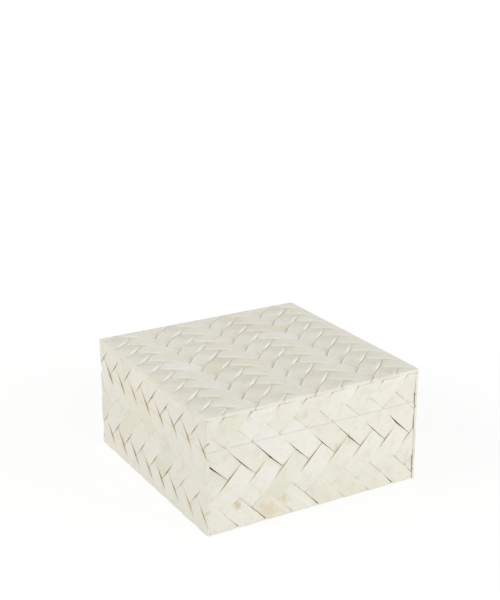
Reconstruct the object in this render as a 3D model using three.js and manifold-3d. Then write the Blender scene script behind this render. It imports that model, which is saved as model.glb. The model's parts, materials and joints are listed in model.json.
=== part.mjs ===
// A square keepsake box: a wooden carcass clad all round in arched bone tiles, which are laid like
// the floats of a twill weave. It is sawn into a base and a lid, hinged at the back.
// Millimetres, +Z up, front towards -Y, left towards -X, origin under the middle of the base.
import * as THREE from "three";
import { mergeVertices } from "three/addons/utils/BufferGeometryUtils.js";
import Module from "manifold-3d";

const wasm = await Module();
wasm.setup();

// Overall size over the crests of the tiles, and where the box is sawn open
const boxWidth = 203;
const boxDepth = 203;
const boxHeight = 102;
const lidHeight = 30;
const partingGap = 0.6;

// Wooden carcass
const wallThickness = 9;
const floorThickness = 6;
const topPanelThickness = 6;

// Felt inside and under the box
const liningThickness = 1;
const liningClearance = 0.5;
const footFeltThickness = 1;
const footFeltInset = 4;

// Tile layers: a bed of grout with the tiles standing out of it, glued to the wood
const sideLayerThickness = 3;
const sideBedThickness = 1.2;
const sideTileWidth = 17.8;
const sideTileLength = 41.15;
const sideTileArch = 1;
const topLayerThickness = 3.4;
const topBedThickness = 1.1;
const topTileWidth = 15.95;
const topTileLength = 38.76;
const topTileArch = 1.8;
const groutGap = 0.4;
const glueLine = 0.2;
const layerFootGap = 0.3;
const cornerChamfer = 1.2;
const archSteps = 4;

// Where one tip of the weave lies: along a side from its middle and up from the ground,
// and on the top forwards and rightwards from its middle
const frontTipAlong = -85.6;
const leftTipAlong = -82;
const sideTipHeight = 72.8;
const topTipForward = -81;
const topTipRight = -31.5;

// Butt hinges at the back
const hingeFromCorner = 41.5;
const hingeLength = 26;
const hingeInset = 2.6;
const knuckleRadius = 2;
const knuckleGap = 0.3;
const leafThickness = 1.2;
const leafReach = 8.4;
const leafGap = 0.4;
const mortiseClearance = 0.3;
const barrelClearance = 0.4;
const pinRadius = 1;
const pinClearance = 0.15;
const pinHeadRadius = 1.5;
const pinHeadThickness = 0.7;
const pinHeadGap = 0.1;
const stopBevelDegrees = 51;
const roundSides = 16;

// Hinge screws
const screwFromLeafEnd = 5;
const screwLength = 8;
const screwHeadRadius = 1.9;
const screwHeadHeight = 1;
const screwShankRadius = 0.9;
const screwTipLength = 2;
const screwClearance = 0.2;
const screwSlotWidth = 0.5;
const screwSlotDepth = 0.4;

// Sizes and planes that follow
const carcassWidth = boxWidth - 2 * sideLayerThickness;
const carcassDepth = boxDepth - 2 * sideLayerThickness;
const innerWidth = carcassWidth - 2 * wallThickness;
const innerDepth = carcassDepth - 2 * wallThickness;
const partingZ = boxHeight - lidHeight;
const baseRimZ = partingZ - partingGap / 2;
const lidRimZ = partingZ + partingGap / 2;
const floorTopZ = footFeltThickness + floorThickness;
const panelTopZ = boxHeight - topLayerThickness;
const panelBottomZ = panelTopZ - topPanelThickness;
const hingeAxisY = boxDepth / 2 - hingeInset;
const leafFarZ = leafGap / 2 + leafThickness;
const leafPlateEdgeY = -(knuckleRadius + knuckleGap);
const screwY = (leafPlateEdgeY - leafReach) / 2;
const knuckleLength = (hingeLength - 2 * knuckleGap) / 3;

const bone = { color: 0xe8e3d3, roughness: 0.45, metalness: 0 };
const wood = { color: 0xb08a5c, roughness: 0.65, metalness: 0 };
const felt = { color: 0x6f6256, roughness: 0.95, metalness: 0 };
const brass = { color: 0xb08d4a, roughness: 0.35, metalness: 0.9 };

const woodenBox = new THREE.Group();
const base = new THREE.Group();
const lid = new THREE.Group();
woodenBox.add(base, lid);

// The two halves: which way each lies from the sawn gap, and its name at the front of its pieces'
const halves = [
  { body: base, name: "base", up: -1, lowZ: floorTopZ, highZ: baseRimZ },
  { body: lid, name: "lid", up: 1, lowZ: lidRimZ, highZ: panelBottomZ },
];

const hinges = [
  { name: "hinge_left", x: hingeFromCorner - boxWidth / 2 },
  { name: "hinge_right", x: boxWidth / 2 - hingeFromCorner },
];

function addPiece(parent, name, geometry, look, place = [0, 0, 0]) {
  const mesh = new THREE.Mesh(geometry, new THREE.MeshStandardMaterial(look));
  mesh.name = name;
  mesh.position.set(...place);
  parent.add(mesh);
}

// A geometry as a closed solid that can be joined and cut, and back
function toSolid(geometry) {
  const bare = geometry.clone();
  bare.deleteAttribute("normal");
  bare.deleteAttribute("uv");
  const merged = mergeVertices(bare, 1e-4);
  const vertProperties = new Float32Array(merged.attributes.position.array);
  const triVerts = new Uint32Array(merged.index.array);
  return new wasm.Manifold(new wasm.Mesh({ numProp: 3, vertProperties, triVerts }));
}

function toGeometry(solid) {
  const mesh = solid.getMesh();
  const geometry = new THREE.BufferGeometry();
  geometry.setAttribute("position", new THREE.BufferAttribute(mesh.vertProperties, 3));
  geometry.setIndex(new THREE.BufferAttribute(mesh.triVerts, 1));
  return geometry;
}

// A solid less some geometries, which are first moved by a matrix into its frame
function cutAway(solid, cutters, intoFrame) {
  const placed = cutters.map((cutter) => toSolid(cutter.applyMatrix4(intoFrame)));
  return placed.reduce((rest, cutter) => rest.subtract(cutter), solid);
}

// A block between two opposite corners
function block(low, high) {
  const size = high.map((value, axis) => value - low[axis]);
  const middle = high.map((value, axis) => (value + low[axis]) / 2);
  return new THREE.BoxGeometry(...size).translate(...middle);
}

// A round bar along X, its middle at x
function barAlongX(radius, length, x) {
  const bar = new THREE.CylinderGeometry(radius, radius, length, roundSides);
  return bar.rotateZ(Math.PI / 2).translate(x, 0, 0);
}

// A piece turned about Z from its pairs of radius and height
function turned(pairs) {
  const points = pairs.map(([radius, height]) => new THREE.Vector2(radius, height));
  return new THREE.LatheGeometry(points, roundSides).rotateX(Math.PI / 2);
}

// An outline in X and Y, raised along Z by its depth
function extruded(points, depth) {
  const shape = new THREE.Shape(points.map(([x, y]) => new THREE.Vector2(x, y)));
  return new THREE.ExtrudeGeometry(shape, { depth, bevelEnabled: false });
}

// One tile along +X from the origin, its width along +Y, its back sunk in the bed and its top an arch
function archedTile(weave) {
  const start = groutGap / 2;
  const length = weave.length - groutGap;
  const width = weave.width - groutGap;
  const back = weave.bed / 2;
  const profile = [[start, back], [start + length, back]];
  for (let step = archSteps; step >= 0; step -= 1) {
    const share = step / archSteps;
    const drop = weave.arch * (2 * share - 1) ** 2;
    profile.push([start + length * share, weave.thickness - drop]);
  }
  return extruded(profile, width).rotateX(Math.PI / 2).translate(0, start + width, 0);
}

// The tile layer of one face, cut to an outline. From each tip of the weave one tile rises at
// 45 degrees and one falls, so rows of rising and of falling tiles interlock
function wovenLayer(weave, low, high, outline) {
  const columnPitch = weave.width * Math.SQRT2;
  const bandPitch = weave.length * Math.SQRT2;
  const reach = weave.length + weave.width;
  const first = [low[0] - reach - weave.tip[0], low[1] - reach - weave.tip[1]];
  const last = [high[0] + reach - weave.tip[0], high[1] + reach - weave.tip[1]];
  const bedLow = low.map((value) => value - weave.width);
  const bedHigh = high.map((value) => value + weave.width);
  let layer = toSolid(block([...bedLow, -weave.bed], [...bedHigh, weave.bed]));
  for (let band = Math.ceil(first[1] / bandPitch); band * bandPitch <= last[1]; band += 1) {
    for (let column = Math.ceil(first[0] / columnPitch); column * columnPitch <= last[0]; column += 1) {
      const along = weave.tip[0] + column * columnPitch;
      const up = weave.tip[1] + band * bandPitch;
      for (const turn of [Math.PI / 4, -Math.PI / 4]) {
        layer = layer.add(toSolid(archedTile(weave).rotateZ(turn).translate(along, up, 0)));
      }
    }
  }
  return layer.intersect(toSolid(outline));
}

// The outline of a side layer that makes the box's corners: its outer upright edges are chamfered
function cornerOutline(low, high, thickness) {
  const plan = [
    [low[0], 0],
    [high[0], 0],
    [high[0], thickness - cornerChamfer],
    [high[0] - cornerChamfer, thickness],
    [low[0] + cornerChamfer, thickness],
    [low[0], thickness - cornerChamfer],
  ];
  return extruded(plan, high[1] - low[1]).rotateX(Math.PI / 2).translate(0, high[1], 0);
}

// The outline of the top layer, with its four corners chamfered to match
function plateOutline(low, high, thickness) {
  const plan = [
    [low[0] + cornerChamfer, low[1]],
    [high[0] - cornerChamfer, low[1]],
    [high[0], low[1] + cornerChamfer],
    [high[0], high[1] - cornerChamfer],
    [high[0] - cornerChamfer, high[1]],
    [low[0] + cornerChamfer, high[1]],
    [low[0], high[1] - cornerChamfer],
    [low[0], low[1] + cornerChamfer],
  ];
  return extruded(plan, thickness);
}

// The room that a hinge's barrel turns in, with the hinge axis as X
function barrelRoom(x) {
  const length = hingeLength + 2 * (pinHeadGap + pinHeadThickness + barrelClearance);
  return barAlongX(knuckleRadius + barrelClearance, length, x);
}

// The wedge taken off a rim behind the hinge axis, past both ends of the box: opened, the two
// bevels meet as a stop
function stopWedge(up) {
  const depth = hingeInset + sideLayerThickness;
  const rise = up * depth * Math.tan(THREE.MathUtils.degToRad(stopBevelDegrees));
  const corners = [[0, 0], [depth, rise], [depth, -rise]];
  if (up < 0) corners.reverse();
  const length = boxWidth + 2 * sideLayerThickness;
  const wedge = extruded(corners, length).rotateX(Math.PI / 2).rotateZ(Math.PI / 2);
  return wedge.translate(-length / 2, 0, 0);
}

// The recess that a hinge leaf is let into, and its pilot holes
function leafRecess(up, x) {
  const halfLength = hingeLength / 2 + mortiseClearance;
  const heights = [0, up * leafFarZ].sort((a, b) => a - b);
  const low = [x - halfLength, -(leafReach + mortiseClearance), heights[0]];
  const recess = block(low, [x + halfLength, hingeInset, heights[1]]);
  const holes = screwPlaces(up, x).map(([holeX, holeY, holeZ]) => {
    const radius = screwShankRadius + screwClearance;
    const length = screwLength + screwClearance;
    const hole = new THREE.CylinderGeometry(radius, radius, length, roundSides);
    return hole.rotateX(Math.PI / 2).translate(holeX, holeY, holeZ + (up * length) / 2);
  });
  return [recess, ...holes];
}

// Where the heads of a leaf's two screws lie, from the hinge axis
function screwPlaces(up, x) {
  const aside = hingeLength / 2 - screwFromLeafEnd;
  return [-1, 1].map((end) => [x + end * aside, screwY, (up * leafGap) / 2]);
}

// A hinge leaf with its knuckles: two on the base's leaf, one between them on the lid's
function hingeLeaf(up) {
  const near = (up * leafGap) / 2;
  const far = up * leafFarZ;
  const [lowZ, highZ] = near < far ? [near, far] : [far, near];
  const half = hingeLength / 2;
  const knuckles = up > 0 ? [0] : [-(knuckleLength + knuckleGap), knuckleLength + knuckleGap];
  let leaf = toSolid(block([-half, -leafReach, lowZ], [half, leafPlateEdgeY, highZ]));
  for (const x of knuckles) {
    const low = [x - knuckleLength / 2, leafPlateEdgeY - leafThickness, lowZ];
    const tongue = block(low, [x + knuckleLength / 2, 0, highZ]);
    leaf = leaf.add(toSolid(tongue)).add(toSolid(barAlongX(knuckleRadius, knuckleLength, x)));
  }
  const bore = barAlongX(pinRadius + pinClearance, 2 * hingeLength, 0);
  const tilt = up > 0 ? Math.PI : 0;
  const holes = screwPlaces(up, 0).map((place) => screwHole().rotateX(tilt).translate(...place));
  return cutAway(leaf, [bore, ...holes], new THREE.Matrix4());
}

// The countersunk hole for a screw that points down from z = 0
function screwHole() {
  return turned([
    [0, -2 * leafThickness],
    [screwShankRadius + screwClearance, -2 * leafThickness],
    [screwShankRadius + screwClearance, -screwHeadHeight],
    [screwHeadRadius + screwClearance, 0],
    [screwHeadRadius + screwClearance, leafGap],
    [0, leafGap],
  ]);
}

// A countersunk screw that points down from z = 0, with a straight slot
function hingeScrew() {
  const screw = turned([
    [0, -screwLength],
    [screwShankRadius, screwTipLength - screwLength],
    [screwShankRadius, -screwHeadHeight],
    [screwHeadRadius, 0],
    [0, 0],
  ]);
  const slot = new THREE.BoxGeometry(2 * screwHeadRadius + 1, screwSlotWidth, 2 * screwSlotDepth);
  return cutAway(toSolid(screw), [slot], new THREE.Matrix4());
}

// A hinge pin with a head at each end, outside the knuckles
function hingePin() {
  const headX = hingeLength / 2 + pinHeadGap + pinHeadThickness / 2;
  const length = 2 * headX;
  const heads = [-headX, headX].map((x) => toSolid(barAlongX(pinHeadRadius, pinHeadThickness, x)));
  return heads.reduce((pin, head) => pin.add(head), toSolid(barAlongX(pinRadius, length, 0)));
}

// Wooden floor, walls and top panel
function addCarcass() {
  const floor = new THREE.BoxGeometry(carcassWidth, carcassDepth, floorThickness);
  addPiece(base, "base_floor_panel", floor, wood, [0, 0, floorTopZ - floorThickness / 2]);
  const panel = new THREE.BoxGeometry(carcassWidth, carcassDepth, topPanelThickness);
  addPiece(lid, "lid_top_panel", panel, wood, [0, 0, panelTopZ - topPanelThickness / 2]);
  for (const { body, name, up, lowZ, highZ } of halves) {
    const height = highZ - lowZ;
    const z = (lowZ + highZ) / 2;
    const x = (carcassWidth - wallThickness) / 2;
    const y = (carcassDepth - wallThickness) / 2;
    const long = new THREE.BoxGeometry(carcassWidth, wallThickness, height);
    const short = new THREE.BoxGeometry(wallThickness, innerDepth, height);
    const recesses = hinges.flatMap((hinge) => [barrelRoom(hinge.x), ...leafRecess(up, hinge.x)]);
    const intoWall = new THREE.Matrix4().makeTranslation(0, hingeAxisY - y, partingZ - z);
    const back = toGeometry(cutAway(toSolid(long), recesses, intoWall));
    addPiece(body, `${name}_front_wall`, long, wood, [0, -y, z]);
    addPiece(body, `${name}_back_wall`, back, wood, [0, y, z]);
    addPiece(body, `${name}_left_wall`, short, wood, [-x, 0, z]);
    addPiece(body, `${name}_right_wall`, short.clone(), wood, [x, 0, z]);
  }
}

// Felt on the floor, inside the lid and under the box
function addFelt() {
  const width = innerWidth - 2 * liningClearance;
  const depth = innerDepth - 2 * liningClearance;
  const lining = new THREE.BoxGeometry(width, depth, liningThickness);
  addPiece(base, "floor_lining", lining, felt, [0, 0, floorTopZ + liningThickness / 2]);
  const above = lining.clone();
  addPiece(lid, "lid_lining", above, felt, [0, 0, panelBottomZ - liningThickness / 2]);
  const footWidth = carcassWidth - 2 * footFeltInset;
  const footDepth = carcassDepth - 2 * footFeltInset;
  const foot = new THREE.BoxGeometry(footWidth, footDepth, footFeltThickness);
  addPiece(base, "base_felt", foot, felt, [0, 0, footFeltThickness / 2]);
}

// Tile layers on the four sides of both halves. The left and right ones cover the ends of the
// others, and the weave runs on across the sawn gap
function addSideTiles() {
  const thickness = sideLayerThickness - glueLine;
  const weave = {
    width: sideTileWidth,
    length: sideTileLength,
    arch: sideTileArch,
    bed: sideBedThickness,
    thickness,
  };
  const long = { out: carcassDepth / 2, half: carcassWidth / 2, tip: frontTipAlong, makesCorners: false };
  const short = { out: carcassWidth / 2, half: boxDepth / 2, tip: leftTipAlong, makesCorners: true };
  const faces = [
    { name: "front", turn: 0, ...long },
    { name: "right", turn: Math.PI / 2, ...short },
    { name: "back", turn: Math.PI, ...long },
    { name: "left", turn: -Math.PI / 2, ...short },
  ];
  for (const { body, name: half, up } of halves) {
    for (const face of faces) {
      const low = [-face.half, up > 0 ? lidRimZ : layerFootGap];
      const high = [face.half, up > 0 ? panelTopZ : baseRimZ];
      const plain = block([...low, 0], [...high, thickness]);
      const outline = face.makesCorners ? cornerOutline(low, high, thickness) : plain;
      let layer = wovenLayer({ ...weave, tip: [face.tip, sideTipHeight] }, low, high, outline);
      const turntable = new THREE.Group();
      turntable.rotation.z = face.turn;
      const upright = new THREE.Group();
      upright.rotation.x = Math.PI / 2;
      upright.position.y = -(face.out + glueLine);
      turntable.add(upright);
      body.add(turntable);
      if (face.name !== "front") {
        upright.updateWorldMatrix(true, false);
        const intoLayer = upright.matrixWorld.clone().invert();
        intoLayer.multiply(new THREE.Matrix4().makeTranslation(0, hingeAxisY, partingZ));
        const rooms = face.name === "back" ? hinges.map((hinge) => barrelRoom(hinge.x)) : [];
        layer = cutAway(layer, [stopWedge(up), ...rooms], intoLayer);
      }
      addPiece(upright, `${half}_${face.name}_tiles`, toGeometry(layer), bone);
    }
  }
}

// The tile layer over the lid, its bands running from back to front
function addTopTiles() {
  const thickness = topLayerThickness - glueLine;
  const weave = {
    width: topTileWidth,
    length: topTileLength,
    arch: topTileArch,
    bed: topBedThickness,
    tip: [topTipForward, topTipRight],
    thickness,
  };
  const low = [-boxDepth / 2, -boxWidth / 2];
  const high = [boxDepth / 2, boxWidth / 2];
  const layer = wovenLayer(weave, low, high, plateOutline(low, high, thickness));
  const table = new THREE.Group();
  table.rotation.z = -Math.PI / 2;
  table.position.z = panelTopZ + glueLine;
  lid.add(table);
  addPiece(table, "lid_top_tiles", toGeometry(layer), bone);
}

// Brass hinges with their pins and screws
function addHinges() {
  for (const { name, x } of hinges) {
    const place = [x, hingeAxisY, partingZ];
    addPiece(base, `${name}_pin`, toGeometry(hingePin()), brass, place);
    for (const { body, name: half, up } of halves) {
      const hinge = new THREE.Group();
      hinge.position.set(...place);
      body.add(hinge);
      addPiece(hinge, `${name}_${half}_leaf`, toGeometry(hingeLeaf(up)), brass);
      screwPlaces(up, 0).forEach((screwPlace, index) => {
        const screw = toGeometry(hingeScrew()).rotateX(up > 0 ? Math.PI : 0);
        addPiece(hinge, `${name}_${half}_screw_${index + 1}`, screw, brass, screwPlace);
      });
    }
  }
}

addCarcass();
addFelt();
addSideTiles();
addTopTiles();
addHinges();

export default woodenBox;
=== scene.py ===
"""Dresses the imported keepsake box: arched bone tiles in a herringbone, wood and felt inside, brass hinges."""

import json
import math
import random
from typing import NamedTuple

import bmesh
import bpy
from bpy.props import BoolProperty, FloatProperty, FloatVectorProperty, IntProperty, PointerProperty
from mathutils import Matrix, Vector, noise


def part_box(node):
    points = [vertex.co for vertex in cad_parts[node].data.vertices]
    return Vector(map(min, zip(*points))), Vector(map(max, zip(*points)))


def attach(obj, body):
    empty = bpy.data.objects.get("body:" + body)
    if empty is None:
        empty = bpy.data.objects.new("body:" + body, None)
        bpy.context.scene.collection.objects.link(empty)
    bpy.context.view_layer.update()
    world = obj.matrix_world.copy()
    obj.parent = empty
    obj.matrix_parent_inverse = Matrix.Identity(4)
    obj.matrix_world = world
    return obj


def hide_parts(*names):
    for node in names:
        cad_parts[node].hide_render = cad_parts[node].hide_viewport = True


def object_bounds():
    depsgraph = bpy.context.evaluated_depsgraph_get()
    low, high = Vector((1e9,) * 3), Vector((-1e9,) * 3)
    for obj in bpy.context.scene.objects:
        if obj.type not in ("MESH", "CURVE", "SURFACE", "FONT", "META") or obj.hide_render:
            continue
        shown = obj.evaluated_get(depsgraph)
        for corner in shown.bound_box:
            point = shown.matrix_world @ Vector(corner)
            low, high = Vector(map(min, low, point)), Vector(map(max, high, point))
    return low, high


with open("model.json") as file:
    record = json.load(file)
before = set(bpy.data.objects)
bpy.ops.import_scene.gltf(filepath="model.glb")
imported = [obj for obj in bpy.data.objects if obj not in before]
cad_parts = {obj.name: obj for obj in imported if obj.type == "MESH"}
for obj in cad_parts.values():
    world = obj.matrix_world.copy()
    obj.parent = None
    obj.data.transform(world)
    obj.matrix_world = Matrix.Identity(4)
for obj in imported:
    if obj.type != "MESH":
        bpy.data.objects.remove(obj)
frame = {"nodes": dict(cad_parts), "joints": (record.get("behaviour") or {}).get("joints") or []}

bl_info = {
    "name": "Bone Weave Box",
    "version": (1, 0, 0),
    "blender": (4, 5, 0),
    "location": "View3D > Sidebar > Box",
    "description": "Dresses a keepsake box in arched bone tiles, wood, felt and brass",
    "category": "Object",
}

MM = 0.001

# Sizes of the solids
CAD_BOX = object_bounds()
BOX_HALF = CAD_BOX[1].x
WOOD_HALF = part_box("base_floor_panel")[1].x
SIDE_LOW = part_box("base_front_tiles")[0].z
SIDE_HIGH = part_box("lid_front_tiles")[1].z
TOP_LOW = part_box("lid_top_panel")[1].z

# The hinge axis, how far out its barrels sit, the room they turn in, and the bevel that stops the lid
HINGE = frame["joints"][0]
PARTING = HINGE["pos_m"][2]
HINGE_AXIS = Vector(HINGE["pos_m"])
HINGE_REACH = (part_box("hinge_right_pin")[0].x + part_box("hinge_right_pin")[1].x) / 2
BARREL_ROOM_RADIUS = 2.4 * MM
BARREL_ROOM_LENGTH = 28.4 * MM
NEAR_BARREL = 30 * MM
STOP_BEVEL = math.radians(51)

# Small gaps: behind a tile, round the grout, under the lid's layer and beside the front
BEHIND = 0.1 * MM
GROUT_INSET = 0.5 * MM
SEAM = 0.18 * MM
FRONT_GAP = 0.02 * MM

# How finely things are modelled and how smooth their shading is
TILE_STEPS = 10
TILE_TURN = math.radians(0.5)
GROUT_PITCH = 4 * MM
FELT_PITCH = 2 * MM
SAW_THRESHOLD = 1e-7
SMOOTH_ANGLE = 35
SMOOTH_ANGLE_BEHIND = 18
SMOOTH_ANGLE_OF_FELT = 60

# How uneven the grout is, the wood's eased edges, and how lumpy the felt and pressed its edges
GROUT_LUMPS = 7 * MM
GROUT_RELIEF = 0.12 * MM
EASED_EDGE = 0.35 * MM
FELT_LUMPS = 5 * MM
LUMP_DEPTH = 0.25
PRESSED_EDGE = 0.35


def length(name, millimetres, description):
    """A length that the sidebar shows in the scene's units."""
    return FloatProperty(
        name=name, description=description, default=millimetres * MM, min=0, unit="LENGTH", precision=5
    )


def number(name, default, description, **limits):
    """A plain number, or with its unit an angle or a power."""
    return FloatProperty(name=name, description=description, default=default, **limits)


def place(name, default, description):
    """A place in metres."""
    kind = {"subtype": "TRANSLATION", "unit": "LENGTH", "precision": 5}
    return FloatVectorProperty(name=name, description=description, default=default, **kind)


def colour(name, default, description):
    """A colour, in linear values."""
    return FloatVectorProperty(
        name=name, description=description, default=default, min=0, max=1, size=3, subtype="COLOR"
    )


# Label and description of the lengths that both weaves have
WEAVE_LENGTHS = {
    "tile_width": ("Tile width", "From one tile to the next beside it"),
    "tile_length": ("Tile length", "From one end of a tile to the other"),
    "arch": ("Arch", "How far a tile's middle rises over its ends"),
    "layer": ("Layer thickness", "From the wood to the crests"),
    "grout": ("Grout", "Depth of the grout between the tiles"),
    "gap": ("Gap", "Mean gap between two tiles"),
    "edge_round": ("Edge rounding", "Width of the worn or filed upper edges along a tile"),
    "end_round": ("End rounding", "Width of the worn upper edges at a tile's ends"),
    "taper": ("Taper", "How far an end may be cut out of square"),
    "shift": ("Shift", "How far a tile may lie from its place"),
    "sink": ("Sink", "How much lower than its neighbours a tile may lie"),
}


def weave_sizes(bow, edge_steps, polished, **millimetres):
    """The properties that both weaves have, with the defaults of one of them."""
    sizes = {name: length(label, millimetres[name], about) for name, (label, about) in WEAVE_LENGTHS.items()}
    sizes["bow"] = number("Bow", bow, "0 for a wave-shaped arch, 1 for a bow", min=0, max=1)
    sizes["turn"] = number("Turn", TILE_TURN, "How far a tile may be turned from 45 degrees", unit="ROTATION")
    facets = "Facets of the edges along a tile"
    sizes["edge_steps"] = IntProperty(name="Edge steps", description=facets, default=edge_steps, min=1)
    # Polished tiles get a painted highlight on their edges and painted shade in their dips instead of glaze
    sizes["polished"] = BoolProperty(name="Polished", description="Edges hold no glaze", default=polished)
    return sizes


class BoxSideWeave(bpy.types.PropertyGroup):
    """Sizes of the weave on the four sides."""

    __annotations__ = weave_sizes(
        bow=0, edge_steps=2, polished=False, tile_width=17.8, tile_length=41.15, arch=1.0, layer=3.0,
        grout=1.1, gap=0.05, edge_round=0.3, end_round=0.25, taper=1.4, shift=0.15, sink=0.18
    )
    corner_round: length("Corner rounding", 1.0, "Radius of the box's upright edges")
    rim_round: length("Foot rounding", 0.6, "Radius of the lowest edges")
    parting_gap: length("Sawn gap", 0.2, "Gap between the tiles of the base and the lid")


class BoxTopWeave(bpy.types.PropertyGroup):
    """Sizes of the weave on the lid."""

    __annotations__ = weave_sizes(
        bow=0.55, edge_steps=1, polished=True, tile_width=15.95, tile_length=38.76, arch=2.3, layer=3.4,
        grout=0.5, gap=0.05, edge_round=0.9, end_round=0.2, taper=0.2, shift=0.12, sink=0.2
    )
    corner_round: length("Corner rounding", 0.8, "Radius of the lid's four corners")
    rim_round: length("Rim rounding", 0.45, "Radius of the lid's upper rim")
    rim_height: length("Rim height", 2.9, "How thick the layer is along its rim, where the arches run out")
    rim_reach: length("Rim reach", 3.0, "How far in from the rim the arches run out")
    rim_wave: length("Rim wave", 0.3, "How much the tiles' heights differ along the rim")


class BoxColours(bpy.types.PropertyGroup):
    """Colours of the box's materials."""

    bone: colour("Bone", (0.82, 0.807, 0.72), "Most of the tiles")
    white_bone: colour("White bone", (0.845, 0.835, 0.80), "The whitest tiles")
    tan_bone: colour("Tan bone", (0.76, 0.69, 0.54), "The tiles that have darkened")
    grey_bone: colour("Grey bone", (0.68, 0.68, 0.55), "Tiles cut near the marrow")
    # Painted highlight along the tiles' upper edges, partly the whitening of polishing
    worn_edge_highlight: colour("Worn edges", (0.91, 0.90, 0.82), "Edges that polishing has whitened")
    # Painted shade where the tiles dip, and painted shadow in the pits beside higher tiles
    painted_dip_shade: colour("Dip_shade", (0.48, 0.45, 0.33), "Wax and dust left where the tiles dip")
    stain: colour("Stain", (0.60, 0.45, 0.20), "Brown spots in the bone")
    front_wall: colour("Edges in front", (0.72, 0.46, 0.17), "Tile edges in front and behind, with glaze")
    side_wall: colour("Edges at the sides", (0.78, 0.55, 0.28), "Tile edges left and right, with glaze")
    # Painted highlight on the walls of the lid's tiles
    top_edge_highlight: colour("Edges on the lid", (0.96, 0.95, 0.86), "Tile edges polished clean")
    side_grout: colour("Grout on the sides", (0.52, 0.33, 0.13), "Grout at the bottom of the gaps")
    top_grout: colour("Grout on the lid", (0.60, 0.55, 0.43), "Grout at the bottom of the gaps")
    wood: colour("Wood", (0.33, 0.19, 0.09), "Carcass")
    felt: colour("Felt", (0.30, 0.24, 0.17), "Linings")
    foot_felt: colour("Foot felt", (0.09, 0.07, 0.055), "Felt under the box")
    brass: colour("Brass", (0.72, 0.52, 0.24), "Hinges")
    floor: colour("Floor", (0.86, 0.86, 0.85), "The paper under the box")


class BoxStage(bpy.types.PropertyGroup):
    """Camera and light."""

    camera_place: place("Camera", (-0.49516, -0.85144, 0.48062), "Where the camera stands")
    camera_turn: FloatVectorProperty(
        name="Camera turn",
        description="How the camera is turned",
        default=[math.radians(degrees) for degrees in (71.456, 0.154, -30.055)],
        subtype="EULER",
        precision=5,
    )
    lens: FloatProperty(name="Lens", description="Focal length in mm", default=72.9, unit="CAMERA")
    lamp_size: length("Lamp size", 900, "Width of each lamp")
    key_place: place("Key light's place", (1.05, -1.50, 0.49), "Where the low lamp in front stands")
    key_power: number("Key light", 15.3, "Power of the low lamp in front", unit="POWER")
    side_place: place("Side light's place", (-1.53, 0.27, 1.09), "Where the lamp at the left stands")
    side_power: number("Side light", 11, "Power of the lamp at the left", unit="POWER")
    side_tone: colour("Side light's colour", (1, 0.98, 0.93), "Colour of the lamp at the left")
    room_light: number("Room light", 0.6, "How bright the white room is", min=0)
    floor_glow: number("Floor glow", 0.72, "Share of the floor's white that ignores light", min=0, max=1)
    near_lift: number("Lift near the box", 0.07, "White added to the floor within 0.2 m", min=0)
    far_lift: number("Lift far away", 0.16, "White added to the floor beyond 0.7 m", min=0)


def settings():
    """What the sidebar shows."""
    return bpy.context.scene.bone_box


class Value:
    """A socket of a shader node that Python expressions can add to, scale and subtract from."""

    def __init__(self, finish, socket):
        self.finish = finish
        self.socket = socket

    def __add__(self, other):
        return self.finish.math("ADD", self, other)

    def __sub__(self, other):
        return self.finish.math("SUBTRACT", self, other)

    def __rsub__(self, other):
        return self.finish.math("SUBTRACT", other, self)

    def __mul__(self, other):
        return self.finish.math("MULTIPLY", self, other)

    def __truediv__(self, other):
        return self.finish.math("DIVIDE", self, other)

    __radd__ = __add__
    __rmul__ = __mul__


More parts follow.
